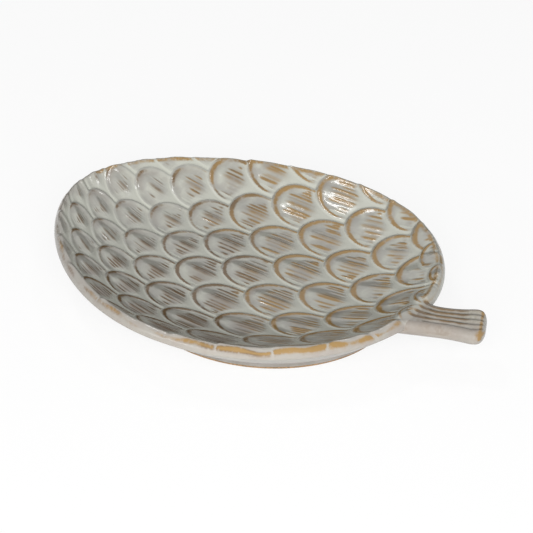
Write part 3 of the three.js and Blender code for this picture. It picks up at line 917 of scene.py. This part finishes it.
def glaze_material():
    """Reactive glaze: pale in the grooves, mauve over the thin pads, brown or golden on ridges and edges."""
    s = Shader("reactive_glaze")
    drift = s.noise(DRIFT_SCALE, 3.0)
    patch = s.noise(PATCH_SCALE, 4.0, 0.4)
    grain = s.noise(GRAIN_SCALE, 3.0)
    colour = s.mix(s.attribute("pool"), s.mix(s.spread(patch, 0.35, 0.7), PAD, POOLED), POOLED)
    tone = s.math("MULTIPLY", s.attribute("tone"), s.spread(drift, 0.3, 0.7, 0.5, 0.95))
    colour = s.mix(tone, colour, MAUVE)
    thin = s.math("MULTIPLY", s.attribute("lilac"), s.spread(patch, 0.35, 0.65, 0.4, 1.1))
    colour = s.mix(thin, colour, LILAC)
    gold = s.math("ADD", s.attribute("warm"), s.spread(drift, 0.3, 0.7, -0.3, 0.3))
    brown = s.mix(s.spread(gold, 0.2, 0.9), BROWN, OCHRE)
    streak = s.math("MULTIPLY", s.attribute("streak"), s.spread(patch, 0.3, 0.65, 0.6, 1.2))
    colour = s.mix(s.spread(streak, 0.08, 0.7), colour, brown)
    edge = s.math("MULTIPLY", s.attribute("edge"), s.spread(patch, 0.28, 0.62, 0.6, 1.25))
    edge = s.math("MULTIPLY", edge, s.spread(grain, 0.3, 0.6, 0.75, 1.1))
    colour = s.mix(s.spread(edge, 0.15, 0.9), colour, brown)
    s.links.new(colour, s.surface.inputs["Base Color"])
    pooled = s.spread(s.attribute("pool"), 0.2, 0.8, 0.0, POOL_ROUGHNESS)
    rough = s.math("ADD", pooled, s.spread(grain, 0.3, 0.7, *GLAZE_ROUGHNESS))
    s.links.new(rough, s.surface.inputs["Roughness"])
    uneven = s.math("ADD", patch, s.math("MULTIPLY", grain, 0.15))
    s.links.new(s.bump(uneven, 0.25, 0.0004), s.surface.inputs["Normal"])
    s.surface.inputs["IOR"].default_value = GLAZE_IOR
    return s.material


def foot_material():
    """Pale glaze down to a wavy line just above the table, bare fired clay below it."""
    s = Shader("foot_glaze_and_clay")
    patch = s.noise(PATCH_SCALE, 4.0)
    grain = s.noise(CLAY_SCALE, 4.0)
    lift = s.math("ADD", s.attribute("lift"), s.math("MULTIPLY", patch, BARE_LINE_WAVES))
    bare = s.spread(lift, BARE_LINE, BARE_LINE + BARE_LINE_BLUR, 1.0, 0.0)
    clay = s.mix(s.spread(grain, 0.3, 0.7), CLAY, BROWN)
    glaze = s.mix(s.spread(patch, 0.3, 0.7), FOOT_THIN, FOOT_THICK)
    s.links.new(s.mix(bare, glaze, clay), s.surface.inputs["Base Color"])
    s.links.new(s.spread(bare, 0.0, 1.0, FOOT_ROUGHNESS, CLAY_ROUGHNESS), s.surface.inputs["Roughness"])
    s.links.new(s.bump(grain, 0.2, 0.0003), s.surface.inputs["Normal"])
    return s.material


# Stage


def seen_rays(nodes, links):
    """1 for rays from the camera and for reflections and see-through rays, 0 for light that falls on the dish."""
    path = nodes.new("ShaderNodeLightPath")
    seen = path.outputs["Is Camera Ray"]
    for name in ("Is Glossy Ray", "Is Transmission Ray"):
        either = nodes.new("ShaderNodeMath")
        either.operation = "MAXIMUM"
        links.new(seen, either.inputs[0])
        links.new(path.outputs[name], either.inputs[1])
        seen = either.outputs[0]
    return seen


def floor_piece():
    """A plain pale floor that keeps the dish's shadow and is seen nearly white."""
    s = Shader("floor")
    s.links.new(s.mix(s.noise(STAGE_NOISE), FLOOR_PALE, FLOOR_PALER), s.surface.inputs["Base Color"])
    s.surface.inputs["Roughness"].default_value = STAGE_ROUGHNESS
    white = s.nodes.new("ShaderNodeEmission")
    share = s.nodes.new("ShaderNodeMixShader")
    s.links.new(s.math("MULTIPLY", seen_rays(s.nodes, s.links), FLOOR_WHITE), share.inputs["Fac"])
    s.links.new(s.surface.outputs["BSDF"], share.inputs[1])
    s.links.new(white.outputs["Emission"], share.inputs[2])
    s.links.new(share.outputs["Shader"], s.nodes["Material Output"].inputs["Surface"])
    bpy.ops.mesh.primitive_plane_add(size=FLOOR_SIZE, location=(0, 0, FLOOR_DROP))
    floor = bpy.context.object
    floor.name = "floor"
    floor.data.materials.append(s.material)


def white_world():
    """Even white light all round. The camera and reflections see plain white."""
    world = bpy.data.worlds.new("white_tent")
    bpy.context.scene.world = world
    world.use_nodes = True
    nodes, links = world.node_tree.nodes, world.node_tree.links
    strength = nodes.new("ShaderNodeMapRange")
    strength.inputs["To Min"].default_value = WORLD_LIGHT
    strength.inputs["To Max"].default_value = 1.0
    links.new(seen_rays(nodes, links), strength.inputs["Value"])
    nodes["Background"].inputs["Color"].default_value = (1, 1, 1, 1)
    links.new(strength.outputs["Result"], nodes["Background"].inputs["Strength"])


def softbox(name, place, size, power, mirrored):
    """An area lamp that faces the dish. The glaze mirrors it or not."""
    lamp = bpy.data.lights.new(name, "AREA")
    lamp.shape = "RECTANGLE"
    lamp.size, lamp.size_y = size
    lamp.energy = power
    item = bpy.data.objects.new(name, lamp)
    item.visible_glossy = mirrored
    item.location = place
    item.rotation_euler = (-Vector(place)).to_track_quat("-Z", "Y").to_euler()
    bpy.context.scene.collection.objects.link(item)


def dark_card():
    """A dark card behind the dish, out of the picture, that only the glaze mirrors."""
    s = Shader("card")
    s.links.new(s.mix(s.noise(STAGE_NOISE), CARD_DARK, CARD_LESS_DARK), s.surface.inputs["Base Color"])
    s.surface.inputs["Roughness"].default_value = STAGE_ROUGHNESS
    towards = Vector((math.sin(CAMERA_AZIMUTH), -math.cos(CAMERA_AZIMUTH), 0))
    middle = -towards * CARD_DISTANCE + Vector((0, 0, CARD_HEIGHT / 2))
    bpy.ops.mesh.primitive_plane_add(size=1.0, location=middle)
    card = bpy.context.object
    card.name = "dark_card"
    card.rotation_euler = towards.to_track_quat("Z", "Y").to_euler()
    card.scale = (CARD_WIDTH, CARD_HEIGHT, 1)
    card.visible_camera = False
    card.visible_diffuse = False
    card.visible_shadow = False
    card.data.materials.append(s.material)


def add_camera():
    rim_middle = Vector((BOWL_MIDDLE + np.array([0, 0, RIM_HEIGHT])) * MM)
    towards = Vector((
        math.sin(CAMERA_AZIMUTH) * math.cos(CAMERA_ELEVATION),
        -math.cos(CAMERA_AZIMUTH) * math.cos(CAMERA_ELEVATION),
        math.sin(CAMERA_ELEVATION),
    ))
    right = Vector((math.cos(CAMERA_AZIMUTH), math.sin(CAMERA_AZIMUTH), 0))
    up = towards.cross(right)
    look = (-towards + right * CAMERA_AIM[0] + up * CAMERA_AIM[1]).normalized()
    data = bpy.data.cameras.new("camera")
    data.lens = CAMERA_LENS
    data.sensor_width = CAMERA_SENSOR
    camera = bpy.data.objects.new("camera", data)
    camera.location = rim_middle + towards * CAMERA_DISTANCE * MM
    side = look.cross(up).normalized()
    camera.rotation_euler = Matrix((side, side.cross(look), -look)).transposed().to_euler()
    bpy.context.scene.collection.objects.link(camera)
    bpy.context.scene.camera = camera


bpy.context.scene.view_settings.view_transform = "Standard"
glaze = glaze_material()
for piece, node, slot in (
    (dish_piece(glaze), "dish_shell", "glaze"),
    (stem_piece(glaze), "stem_handle", "glaze"),
    (foot_piece(foot_material()), "foot_ring", "bare_clay"),
):
    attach(piece, "root")
    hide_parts(node)

floor_piece()
white_world()
dark_card()
for lamp in LAMPS:
    softbox(*lamp)
add_camera()
